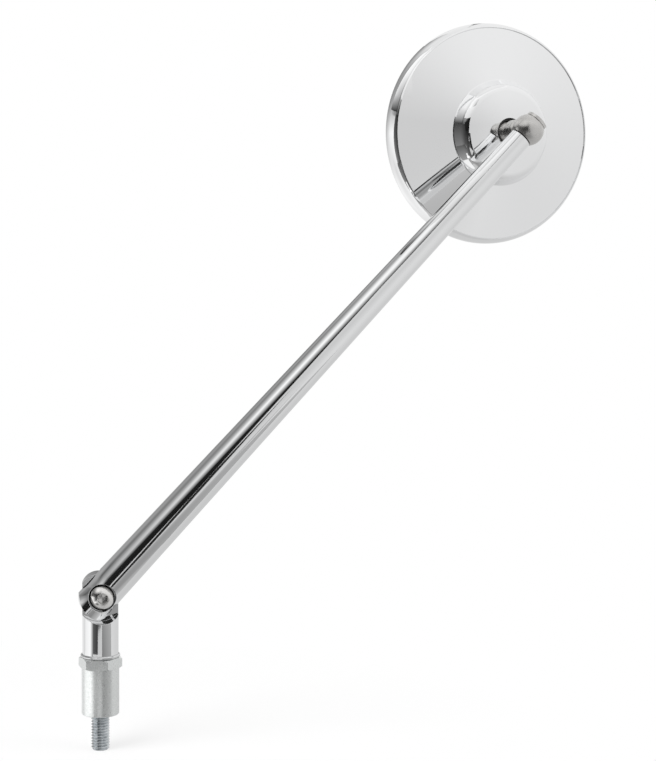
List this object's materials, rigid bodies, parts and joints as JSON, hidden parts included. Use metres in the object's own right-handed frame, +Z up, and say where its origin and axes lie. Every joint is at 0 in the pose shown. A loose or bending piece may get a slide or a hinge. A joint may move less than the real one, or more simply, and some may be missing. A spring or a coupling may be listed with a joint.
{
  "type": "scooter rear-view mirror",
  "caption": "Round chrome rear-view mirror on a tapered arm, with a half-lap tilt joint, a swivel elbow, a ball joint and a threaded mounting stud.",
  "frame": {"origin": "middle of the sleeve's lower face, where the stud comes out", "axes": "+Z up the stem, +X the way the arm leans, -Y the side that shows the back of the head and the pivot screw"},
  "size_m": [0.2513, 0.0591, 0.327],
  "materials": {
    "chrome": "polished chrome plate",
    "shell_chrome": "polished chrome plate on spun steel",
    "zinc_sleeve": "matte zinc plate with a fine sandy grain",
    "zinc_thread": "bright blue zinc plate",
    "nickel": "polished nickel plate",
    "satin_nickel": "satin nickel plate",
    "spring_steel": "drawn spring wire",
    "socket_alloy": "turned aluminium",
    "nylon": "black nylon",
    "gasket_rubber": "matte black rubber",
    "mirror_silver": "silvered convex glass"
  },
  "bodies": {
    "mount": {"mounting_stud": "zinc_thread", "adapter_sleeve": "zinc_sleeve", "stem_washer": "chrome", "stem_knuckle": "chrome", "pivot_screw": "nickel", "pivot_washer": "nickel"},
    "arm": {"arm": "chrome", "swivel_screw": "satin_nickel"},
    "elbow": {"elbow_knuckle": "satin_nickel", "ball_stud": "satin_nickel"},
    "ball_liner": {"ball_liner": "nylon"},
    "pressure_cup": {"pressure_cup": "socket_alloy", "pressure_spring": "spring_steel"},
    "head": {"back_shell": "shell_chrome", "socket_ring": "nylon", "retaining_plate": "zinc_sleeve", "plate_screw_1": "zinc_thread", "plate_screw_2": "zinc_thread", "plate_screw_3": "zinc_thread", "glass_gasket": "gasket_rubber", "mirror_glass": "mirror_silver", "rim_bezel": "shell_chrome"}
  },
  "joints": [
    {"name": "arm_tilt", "type": "hinge", "parent": "mount", "child": "arm", "pos_m": [0, 0, 0.0524], "axis": [0, -1, 0], "range_deg": [-45, 125]},
    {"name": "elbow_swivel", "type": "hinge", "parent": "arm", "child": "elbow", "pos_m": [0.19537, 0, 0.259], "axis": [0.6871, 0, 0.7266], "continuous": true},
    {"name": "head_tilt", "type": "hinge", "parent": "elbow", "child": "ball_liner", "pos_m": [0.19206, 0.02518, 0.259], "axis": [0.9914, 0.1305, 0], "range_deg": [-14, 14]},
    {"name": "head_pan", "type": "hinge", "parent": "ball_liner", "child": "pressure_cup", "pos_m": [0.19206, 0.02518, 0.259], "axis": [0, 0, 1], "range_deg": [-14, 14]},
    {"name": "head_spin", "type": "hinge", "parent": "pressure_cup", "child": "head", "pos_m": [0.19206, 0.02518, 0.259], "axis": [0.1305, -0.9914, 0], "continuous": true}
  ]
}
